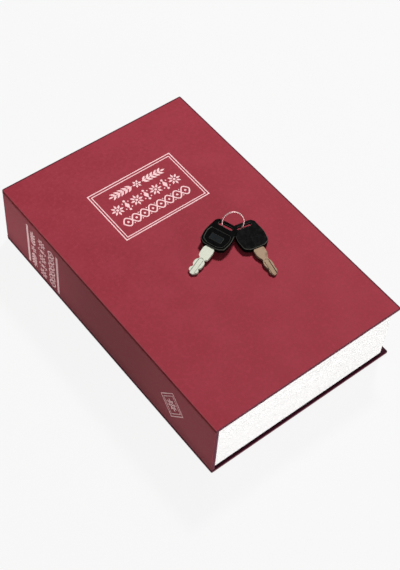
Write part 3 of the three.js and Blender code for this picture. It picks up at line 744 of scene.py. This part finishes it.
def page_block():
    """A channel round three sides, whose outer face is ridged like the edges of pages."""
    low, high = node_box("page_block")
    rim = high.x - node_box("steel_tray")[1].x - TRAY_SURROUND
    ridges = random.Random(7)
    section = [(PAGE_LOW_EDGE, low.z)]
    z = low.z + PAGE_START
    while z < high.z - PAGE_PITCH:
        section.append((PAGE_DEPTH * (PAGE_LEAST + (1 - PAGE_LEAST) * ridges.random()), z))
        section.append((PAGE_UNEVEN * ridges.random(), z + PAGE_PITCH * 0.3))
        section.append((PAGE_UNEVEN * ridges.random(), z + PAGE_PITCH * 0.75))
        z += PAGE_PITCH
    section += [
        (PAGE_HIGH_EDGE, high.z),
        (rim, high.z),
        (rim, high.z - PAGE_RIM),
        (PAGE_WALL, high.z - PAGE_RIM),
        (PAGE_WALL, low.z + PAGE_FOOT),
        (PAGE_FOOT_WIDTH, low.z + PAGE_FOOT),
        (PAGE_FOOT_WIDTH, low.z),
    ]
    loops = []
    for inset, z in section:
        loop = [(low.x, high.y - inset, z)]
        reach = max(PAGE_CORNER - inset, 0)
        quarter = arc(PAGE_CORNER_STEPS)
        for sign, turn in ((1, quarter), (-1, quarter[::-1])):
            for s, c in turn:
                x = high.x - inset - reach * (1 - s)
                y = high.y - inset - reach * (1 - c)
                loop.append((x, sign * y, z))
        loop.append((low.x, low.y + inset, z))
        loops.append(loop)
    block = loft("page_block_ridged", list(zip(*loops)))
    dressed(shaded(block, 25), "case", PAGES, ["page_block"])


front_cover()
hinge_strip()
case_wrap()
page_block()


# Foil: every mark is a strip between a left and a right row of points

def stroke(points, widths):
    """Left and right rows of points along a line of varying width, which doesn't close on itself."""
    left, right = [], []
    for i, (x, y) in enumerate(points):
        x1, y1 = points[max(i - 1, 0)]
        x2, y2 = points[min(i + 1, len(points) - 1)]
        length = math.hypot(x2 - x1, y2 - y1) or 1
        nx, ny = -(y2 - y1) / length, (x2 - x1) / length
        half = widths[i] / 2
        left.append((x + nx * half, y + ny * half))
        right.append((x - nx * half, y - ny * half))
    return left, right, False


def dot(x, y, radius, steps=10):
    """A round dot."""
    turn = arc(steps, 180)
    return stroke([(x - radius * c, y) for _, c in turn], [2 * radius * s for s, _ in turn])


def lozenge(x, y, width, height):
    """A filled lozenge."""
    return stroke([(x - width / 2, y), (x, y), (x + width / 2, y)], [FOIL_POINT, height, FOIL_POINT])


def leaf(x, y, angle, length, width, curl=0.0, steps=10):
    """A pointed leaf from (x, y) in a direction in degrees, bent by curl degrees over its length."""
    points, widths = [(x, y)], [FOIL_POINT]
    heading = math.radians(angle)
    for i in range(1, steps + 1):
        t = i / steps
        heading += math.radians(curl) / steps
        px, py = points[-1]
        points.append((px + math.cos(heading) * length / steps, py + math.sin(heading) * length / steps))
        widths.append(max(width * math.sin(math.pi * t ** 0.8), FOIL_POINT))
    return stroke(points, widths)


def rosette(x, y, radius, petals=8, width=0.34):
    """Petals around a dot. width is a petal's, as a share of the radius."""
    shapes = [dot(x, y, radius * 0.2)]
    start = radius * 0.3
    for i in range(petals):
        angle = 360 * i / petals
        a = math.radians(angle)
        foot_x, foot_y = x + start * math.cos(a), y + start * math.sin(a)
        shapes.append(leaf(foot_x, foot_y, angle, radius * 0.7, radius * width))
    return shapes


def rectangle(x0, x1, y0, y1, inset):
    """The corners of a rectangle, moved inwards."""
    left, right, low, high = x0 + inset, x1 - inset, y0 + inset, y1 - inset
    return [(left, low), (right, low), (right, high), (left, high)]


def frame_line(x0, x1, y0, y1, width):
    """A closed rectangular line."""
    return rectangle(x0, x1, y0, y1, 0), rectangle(x0, x1, y0, y1, width), True


def lozenge_corners(x, y, width, height):
    """The corners of a lozenge around (x, y)."""
    return [(x - width / 2, y), (x, y - height / 2), (x + width / 2, y), (x, y + height / 2)]


def lozenge_line(x, y, width, height, line):
    """A closed line around a lozenge."""
    outside = lozenge_corners(x, y, width, height)
    return outside, lozenge_corners(x, y, width - 2 * line, height - 2 * line), True


def laurel_row(x0, x1, y, height, pairs):
    """A sprig of laurel to each side of a small rosette."""
    middle = (x0 + x1) / 2
    shapes = rosette(middle, y, height * 0.42, 6, 0.4)
    start = height * 0.52
    tip = (x1 - x0) / 2 - height * 0.36
    for sign in (1, -1):
        outwards = 0 if sign > 0 else 180
        stem = [(middle + sign * start, y), (middle + sign * tip, y)]
        shapes.append(stroke(stem, [height * 0.09, height * 0.06]))
        for i in range(pairs):
            x = middle + sign * (start + (tip - start) * (i + 0.25) / pairs)
            for side in (1, -1):
                angle = outwards + sign * side * 48
                shapes.append(leaf(x, y, angle, height * 0.56, height * 0.2, -sign * side * 16))
        shapes.append(leaf(middle + sign * tip, y, outwards, height * 0.42, height * 0.18))
    return shapes


def rosette_row(x0, x1, y, height, count, weight):
    """Rosettes and tall lozenges in turn."""
    shapes = []
    pitch = (x1 - x0) / count
    for i in range(count):
        x = x0 + pitch * (i + 0.5)
        if i % 2:
            shapes.append(lozenge(x, y, pitch * 0.42, height * 0.66))
            for sign in (1, -1):
                shapes.append(dot(x, y + sign * height * 0.42, weight * 0.55))
                shapes.append(dot(x + sign * pitch * 0.3, y + height * 0.27, weight * 0.3))
                shapes.append(dot(x + sign * pitch * 0.3, y - height * 0.27, weight * 0.3))
        else:
            shapes += rosette(x, y, height * 0.5, width=0.3)
    return shapes


def plait_row(x0, x1, y, height, count, weight):
    """Two waves plaited into a chain of eyes, with a dot in each eye."""
    shapes = []
    pitch = (x1 - x0) / count
    steps = count * 12
    reach = (height - weight) / 2
    for sign in (1, -1):
        points = []
        for i in range(steps + 1):
            t = i / steps
            points.append((x0 + (x1 - x0) * t, y + sign * reach * math.sin(math.pi * count * t)))
        shapes.append(stroke(points, [weight] * len(points)))
    for i in range(count):
        shapes.append(dot(x0 + pitch * (i + 0.5), y, weight * 0.85))
        if i:
            for sign in (1, -1):
                shapes.append(dot(x0 + pitch * i, y + sign * height * 0.36, weight * 0.45))
    return shapes


def foil(name, shapes, body, place):
    """Stamps shapes onto a face, in turn at three heights, so that marks that cross seldom share a plane.
    place maps (x, y, height) to a point of the part."""
    verts, faces = [], []
    for layer, (left, right, closed) in enumerate(shapes):
        start = len(verts)
        count = len(left)
        for height in (-FOIL_SINK, FOIL + FOIL_LAYER * (layer % 3)):
            verts += [place(x, y, height) for x, y in left + right]

        def at(row, i):
            return start + row * count + i % count

        for i in range(count if closed else count - 1):
            for a, b in ((2, 3), (0, 1), (0, 2), (1, 3)):
                faces.append((at(a, i), at(a, i + 1), at(b, i + 1), at(b, i)))
        if not closed:
            for i in (0, count - 1):
                faces.append((at(0, i), at(2, i), at(3, i), at(1, i)))
    dressed(mesh_object(name, verts, faces), body, FOIL_METAL)


def title_foil():
    """A double frame with three rows of ornament on the front cover."""
    shapes = [
        frame_line(-35, 37, 32, 79.3, 0.8),
        frame_line(-33, 35, 33.8, 77.2, 0.7),
    ]
    shapes += laurel_row(-23, 24.5, 69, 8.6, 5)
    shapes += rosette_row(-28.5, 29, 57.2, 10, 7, 1.7)
    shapes += plait_row(-28, 28.5, 44.6, 8.4, 8, 1.0)
    foil("title_foil", shapes, "front_cover", lambda x, y, h: (x, y, FRONT_HIGH.z + h))


def spine_foil():
    """Two bars with rows between them, and a lozenge, on the spine. The marks' x runs up the part's z."""
    width, z0, z1 = 2.3, 6, 46.5
    shapes = [stroke([(z0, y), (z1, y)], [width, width]) for y in (89.5, 53.5)]
    shapes += laurel_row(6, 45, 83, 8.6, 4)
    shapes += rosette_row(5.5, 46, 72, 9.6, 5, 1.6)
    shapes += plait_row(6.5, 45.5, 60.6, 7.8, 6, 1.1)
    middle = (28, -76.5)
    shapes.append(lozenge_line(*middle, 29, 24, 1.0))
    shapes.append(lozenge_line(*middle, 22.5, 18.2, 0.7))
    shapes += rosette(*middle, 5.2)
    foil("spine_foil", shapes, "case", lambda z, y, h: (CASE_LOW.x - h, y, z))


title_foil()
spine_foil()


# Keys

def filleted(points, share, steps):
    """An outline whose corners are rounded from a share of each side."""
    outline = []
    for i, corner in enumerate(points):
        before, after = points[i - 1], points[(i + 1) % len(points)]
        start = [c + (b - c) * share for c, b in zip(corner, before)]
        end = [c + (a - c) * share for c, a in zip(corner, after)]
        for k in range(steps + 1):
            t = k / steps
            outline.append(tuple(
                s * (1 - t) ** 2 + 2 * c * t * (1 - t) + e * t ** 2 for s, c, e in zip(start, corner, end)))
    return outline


def bow_outline(inset, share=0.24, steps=6):
    """The bow's outline from above, moved inwards."""
    start = BLADE_LENGTH + inset
    length = BOW_LENGTH - 2 * inset
    upper = [(start + along * length, width * BOW_WIDTH / 2 - inset) for along, width in BOW_CORNERS]
    lower = [(x, -y) for x, y in reversed(upper)]
    return filleted(upper + lower, share, steps)


def offset_outline(points, inset):
    """A closed outline moved inwards along its normals."""
    area = sum(x1 * y2 - x2 * y1 for (x1, y1), (x2, y2) in zip(points, points[1:] + points[:1]))
    side = 1 if area > 0 else -1
    moved = []
    for i, (x, y) in enumerate(points):
        x1, y1 = points[i - 1]
        x2, y2 = points[(i + 1) % len(points)]
        length = math.hypot(x2 - x1, y2 - y1) or 1
        moved.append((x - side * (y2 - y1) / length * inset, y + side * (x2 - x1) / length * inset))
    return moved


def blade_outline(cuts):
    """The blade's outline from above, with both edges' cuts."""
    half = BLADE_WIDTH / 2
    end = BLADE_LENGTH + BLADE_INTO_BOW
    near = [(along * BLADE_LENGTH, width * half) for along, width in cuts[0]] + [(end, half)]
    far = [(along * BLADE_LENGTH, -width * half) for along, width in cuts[1]] + [(end, -half)]
    return filleted(near + far[::-1], 0.4, 3)


def stadium(x, length, width, grow, steps=8):
    """A round-ended outline across the key at x."""
    radius = width / 2 + grow
    y = length / 2 - width / 2
    points = [(x + radius * c, y + radius * s) for s, c in arc(steps, 180)]
    return points + [(2 * x - px, -py) for px, py in points]


def at_height(outline, z):
    """An outline's points at one height."""
    return [(x, y, z) for x, y in outline]


def mean_point(mesh):
    """The middle of a mesh's points."""
    return sum((v.co for v in mesh.vertices), Vector()) / len(mesh.vertices)


def bar(name, x0, x1, half_y, half_z):
    """A square-edged bar along the key."""
    section = rectangle(-half_y, half_y, -half_z, half_z, 0)
    return loft(name, [[(x, y, z) for y, z in section] for x in (x0, x1)])


def key_matrix(side):
    """Where a key lies: its X runs from the blade's tip to the bow, and its Z up through its thickness."""
    obj = copied(f"{side}_key_blade", "blade_probe")
    mesh = obj.data
    widest = max(mesh.polygons, key=lambda face: face.area)
    up = widest.normal.copy()
    up = up if up.z > 0 else -up
    points = [v.co for v in mesh.vertices]
    edges = [points[edge.vertices[1]] - points[edge.vertices[0]] for edge in mesh.edges]
    level = [edge for edge in edges if abs(edge.normalized().dot(up)) < 0.01]
    along = max(level, key=lambda edge: edge.length).normalized()
    to_bow = mean_point(NODES[f"{side}_key_bow"].data) - mean_point(mesh)
    along = along if to_bow.dot(along) > 0 else -along
    across = up.cross(along)
    tip = min(p.dot(along) for p in points)
    sides = [p.dot(across) for p in points]
    ups = [p.dot(up) for p in points]
    origin = along * tip + across * (min(sides) + max(sides)) / 2 + up * (min(ups) + max(ups)) / 2
    bpy.data.objects.remove(obj)
    matrix = Matrix((along, across, up)).transposed().to_4x4()
    matrix.translation = origin
    return matrix


def bow_piece(name, panel_side):
    """The moulded bow around the key's middle plane, with its recessed panel above (1) or below (-1)."""
    half = BOW_THICKNESS / 2
    loops = []
    for s, c in arc(5):
        loops.append(at_height(bow_outline(BOW_EDGE * (1 - s)), -half + BOW_EDGE * (1 - c)))
    for s, c in arc(5):
        loops.append(at_height(bow_outline(BOW_EDGE * (1 - c)), half - BOW_EDGE * (1 - s)))
    bow = loft(name, loops)
    end = BLADE_LENGTH + BOW_LENGTH
    web = end - WEB_LENGTH
    limit = web - PANEL_END
    outer = [(min(x, limit), y) for x, y in bow_outline(RIM_WIDTH)]
    inner = [(min(x, limit - PANEL_SLOPE), y) for x, y in bow_outline(RIM_WIDTH + PANEL_SLOPE)]
    heights = (half + CUT_PAST / 2, half - PANEL_DEPTH)
    panel = [at_height(loop, panel_side * z) for loop, z in zip((outer, inner), heights)]
    combined(bow, loft("panel_cut", panel))
    face = WEB_THICKNESS / 2
    top = half + WEB_CUT_PAST
    past = end + 2 * WEB_CUT_PAST
    for side in (1, -1):
        web_cut = []
        for x, z in ((web, face), (web - (top - face) * WEB_SLOPE, top)):
            web_cut.append(at_height(rectangle(x, past, -BOW_WIDTH, BOW_WIDTH, 0), side * z))
        combined(bow, loft("web_cut", web_cut))
    x = end - SLOT_BAR - SLOT_WIDTH / 2
    mouth = 2 * CUT_PAST
    steps = ((SLOT_FLARE + mouth, -face - mouth), (0, -face + SLOT_FLARE))
    steps += ((0, face - SLOT_FLARE), (SLOT_FLARE + mouth, face + mouth))
    slot = [at_height(stadium(x, SLOT_LENGTH, SLOT_WIDTH, grow), z) for grow, z in steps]
    combined(bow, loft("slot_cut", slot))
    room_y, room_z = TANG_WIDTH / 2 + TANG_CLEARANCE, BLADE_THICKNESS / 2 + TANG_CLEARANCE
    room_end = BLADE_LENGTH + TANG_LENGTH + TANG_CLEARANCE
    combined(bow, bar("tang_cut", BLADE_LENGTH - 2 * TANG_OVERLAP, room_end, room_y, room_z))
    return bow


def blank_plate(name, side):
    """The bare raised plate in the middle of a bow's panel, with a shallow field inside its rim."""
    x0, x1 = BLADE_LENGTH + PLATE_START, BLADE_LENGTH + PLATE_END
    floor = BOW_THICKNESS / 2 - PANEL_DEPTH
    steps = ((0, -CUT_PAST), (0, 0), (PLATE_SLOPE, PLATE_RISE), (PLATE_RIM, PLATE_RISE))
    steps += ((PLATE_RIM + PLATE_SLOPE, PLATE_RISE - PLATE_FIELD),)
    loops = []
    for inset, height in steps:
        outline = filleted(rectangle(x0, x1, -PLATE_HALF, PLATE_HALF, inset), 0.12, 3)
        loops.append(at_height(outline, side * (floor + height)))
    return loft(name, loops)


def blade_piece(name, cuts):
    """A double-bitted blade with a milled channel on both faces and a deeper line along each of its edges."""
    outline = blade_outline(cuts)
    narrow = offset_outline(outline, BLADE_EDGE)
    half = BLADE_THICKNESS / 2
    steps = ((narrow, -half), (outline, -half + BLADE_EDGE), (outline, half - BLADE_EDGE), (narrow, half))
    blade = loft(name, [at_height(points, z) for points, z in steps])
    top = half + CUT_PAST
    half_line = LINE_WIDTH / 2
    for side in (1, -1):
        groove = []
        for grow, z in ((GROOVE_FLARE, top), (0, half - GROOVE_DEPTH)):
            points = stadium(0, 2 * GROOVE_END, GROOVE_WIDTH, grow)
            groove.append([(y, x, side * z) for x, y in points])
        combined(blade, loft("groove_cut", groove))
        for y in (GROOVE_WIDTH / 2 - half_line, half_line - GROOVE_WIDTH / 2):
            line = rectangle(-1, GROOVE_END - LINE_SHORTER, y - half_line, y + half_line, 0)
            combined(blade, loft("line_cut", [at_height(line, side * z) for z in (top, half - LINE_DEPTH)]))
    tang = bar("tang", BLADE_LENGTH - TANG_OVERLAP, BLADE_LENGTH + TANG_LENGTH, TANG_WIDTH / 2, half)
    combined(blade, tang, "UNION")
    return blade


def key(side, cuts, panel_side, metal_finish):
    """Puts one key's bow and blade where the frame has them."""
    matrix = key_matrix(side)
    bow = bow_piece(f"{side}_bow_moulding", panel_side)
    plate = blank_plate(f"{side}_bow_plate", panel_side)
    blade = blade_piece(f"{side}_blade_milled", cuts)
    for obj in (bow, plate, blade):
        obj.data.transform(matrix)
        tidy(obj.data)
    body = f"{side}_key"
    dressed(shaded(bow, 32), body, PLASTIC, [f"{body}_bow"])
    dressed(shaded(plate, 32), body, PLATE_PLASTIC)
    dressed(shaded(blade, 32), body, metal_finish, [f"{body}_blade"])


def key_ring():
    """A smooth wire ring, fitted to the frame's faceted one."""
    points = np.array([v.co for v in NODES["key_ring"].data.vertices])
    centre = points.mean(0)
    _, axes = np.linalg.eigh(np.cov((points - centre).T))
    normal = Vector(axes[:, 0])
    heights = (points - centre) @ axes[:, 0]
    wire = (heights.max() - heights.min()) / 2
    reach = np.linalg.norm(points - centre, axis=1).max() - wire
    mesh = bpy.data.meshes.new("key_ring_wire")
    turn = normal.to_track_quat("Z", "Y").to_matrix()
    around, section = 96, 18
    verts, faces = [], []
    for i in range(around):
        a = 2 * math.pi * i / around
        for j in range(section):
            b = 2 * math.pi * j / section
            r = reach + wire * math.cos(b)
            point = turn @ Vector((r * math.cos(a), r * math.sin(a), wire * math.sin(b)))
            verts.append(point + Vector(centre))
            here, after, beside = i * section, (i + 1) % around * section, (j + 1) % section
            faces.append((here + j, after + j, after + beside, here + beside))
    mesh.from_pydata(verts, [], faces)
    tidy(mesh)
    mesh.shade_smooth()
    dressed(object_from("key_ring_wire", mesh), "key_ring", RING_WIRE, ["key_ring"])


key("left", LEFT_CUTS, 1, NICKEL)
key("right", RIGHT_CUTS, -1, WARM_NICKEL)
key_ring()


# Boards, papers, the steel box, its hinges and its lock

def keep(material, *nodes):
    """Gives a material to CAD nodes that stay as they are."""
    for node in nodes:
        data = NODES[node].data
        data.materials.clear()
        data.materials.append(material)


keep(GREYBOARD, "front_board", "spine_board", "back_board")
keep(ENDPAPER, "front_endpaper", "back_endpaper")
keep(FOAM, "base_adhesive_sheet", "spine_adhesive_sheet")
softened("steel_tray", "case", "black_steel", 0.25)
softened("box_lid", "lid", "black_steel", 0.25)
softened("strike_bracket", "case", "hinge_steel", 0.2)
for end in ("tail", "head"):
    softened(f"{end}_hinge_tray_leaf", "case", "hinge_steel", 0.12)
    softened(f"{end}_hinge_lid_leaf", "lid", "hinge_steel", 0.12)
    softened(f"{end}_hinge_pin", "case", "hinge_steel", 0.2)
    for body, word in (("case", "tray"), ("lid", "lid")):
        for index in (1, 2):
            softened(f"{end}_hinge_{word}_rivet_{index}", body, "rivet", 0.12)
for index in (1, 2):
    softened(f"strike_rivet_{index}", "case", "rivet", 0.12)
softened("lock_housing", "lid", "lock_chrome", 0.15)
softened("lock_nut", "lid", "hinge_steel", 0.2)
softened("lock_plug", "lock_core", "lock_chrome", 0.08)
softened("lock_cam", "lock_core", "hinge_steel", 0.15)
softened("cam_washer", "lock_core", "hinge_steel", 0.1)
softened("cam_screw", "lock_core", "rivet", 0.12)
for index in (1, 2, 3, 4):
    softened(f"lock_wafer_{index}", "lock_core", "wafer_brass", 0.06)


# Floor and light

def seen_directly(tree):
    """1 for rays that show the floor or the backdrop to the camera, by mirrors and through glass too."""
    path = add(tree, "ShaderNodeLightPath")
    direct = sums(tree, path.outputs["Is Camera Ray"], path.outputs["Is Glossy Ray"], "MAXIMUM")
    return sums(tree, direct, path.outputs["Is Transmission Ray"], "MAXIMUM")


def add_floor():
    """A pale floor that keeps the book's shadow."""
    mesh = bpy.data.meshes.new("floor")
    corners = rectangle(-FLOOR_REACH, FLOOR_REACH, -FLOOR_REACH, FLOOR_REACH, 0)
    mesh.from_pydata(at_height(corners, 0), [], [(0, 1, 2, 3)])
    floor = object_from("floor", mesh)
    floor.location.z = -FLOOR_DROP
    material, tree, shader = new_material("floor")
    fine = noise(tree, 40, detail=2)
    paper = mixed(tree, spread(tree, fine, 0.3, 0.7), (110, 110, 110), (112, 112, 112))
    finish(tree, shader, paper, 0.9, 0.0)
    glow = add(tree, "ShaderNodeEmission", {"Color": (1, 1, 1, 1), "Strength": FLOOR_GLOW})
    share = times(tree, seen_directly(tree), FLOOR_SHARE)
    both = add(tree, "ShaderNodeMixShader", {0: share, 1: shader.outputs[0], 2: glow.outputs[0]})
    feed(tree, tree.nodes["Material Output"], {"Surface": both.outputs[0]})
    mesh.materials.append(material)


def add_world():
    """Even light from all sides, with a pale backdrop for the camera."""
    world = bpy.data.worlds.new("studio")
    bpy.context.scene.world = world
    world.use_nodes = True
    tree = world.node_tree
    ambient = tree.nodes["Background"]
    feed(tree, ambient, {"Color": (1, 1, 1, 1), "Strength": AMBIENT})
    pale = add(tree, "ShaderNodeBackground", {"Color": (*[BACKGROUND] * 3, 1), "Strength": 1.0})
    shaders = {0: seen_directly(tree), 1: ambient.outputs[0], 2: pale.outputs[0]}
    both = add(tree, "ShaderNodeMixShader", shaders)
    feed(tree, tree.nodes["World Output"], {"Surface": both.outputs[0]})


def softbox(name, place, target, size, power):
    """A round lamp that faces its target and isn't seen itself."""
    data = bpy.data.lights.new(name, "AREA")
    data.shape = "DISK"
    data.size = size
    data.energy = power
    lamp = bpy.data.objects.new(name, data)
    bpy.context.scene.collection.objects.link(lamp)
    lamp.location = place
    lamp.rotation_euler = (Vector(target) - Vector(place)).to_track_quat("-Z", "Y").to_euler()
    lamp.visible_camera = False
    return lamp


def low_lamp(name, place, power):
    """A small lamp below the level of an opened cover that faces the spine and leaves the floor unlit."""
    lamp = softbox(name, place, (CASE_LOW.x * MM, place[1], BOOK_MIDDLE[2]), LOW_LAMP_SIZE, power)
    unlit = bpy.data.collections.new(f"{name}_unlit")
    unlit.objects.link(bpy.data.objects["floor"])
    lamp.light_linking.receiver_collection = unlit
    unlit.collection_objects[0].light_linking.link_state = "EXCLUDE"


add_floor()
add_world()
softbox("top_light", (1.0, 0.6, 1.67), BOOK_MIDDLE, 0.3, TOP_POWER)
softbox("front_light", (-0.15, -1.6, 0.2), BOOK_MIDDLE, 0.36, FRONT_POWER)
low_lamp("head_light", (-0.17, 0.104, 0.02), HEAD_POWER)
low_lamp("tail_light", (-0.2, -0.11, 0.02), TAIL_POWER)
bpy.context.scene.view_settings.view_transform = "Standard"
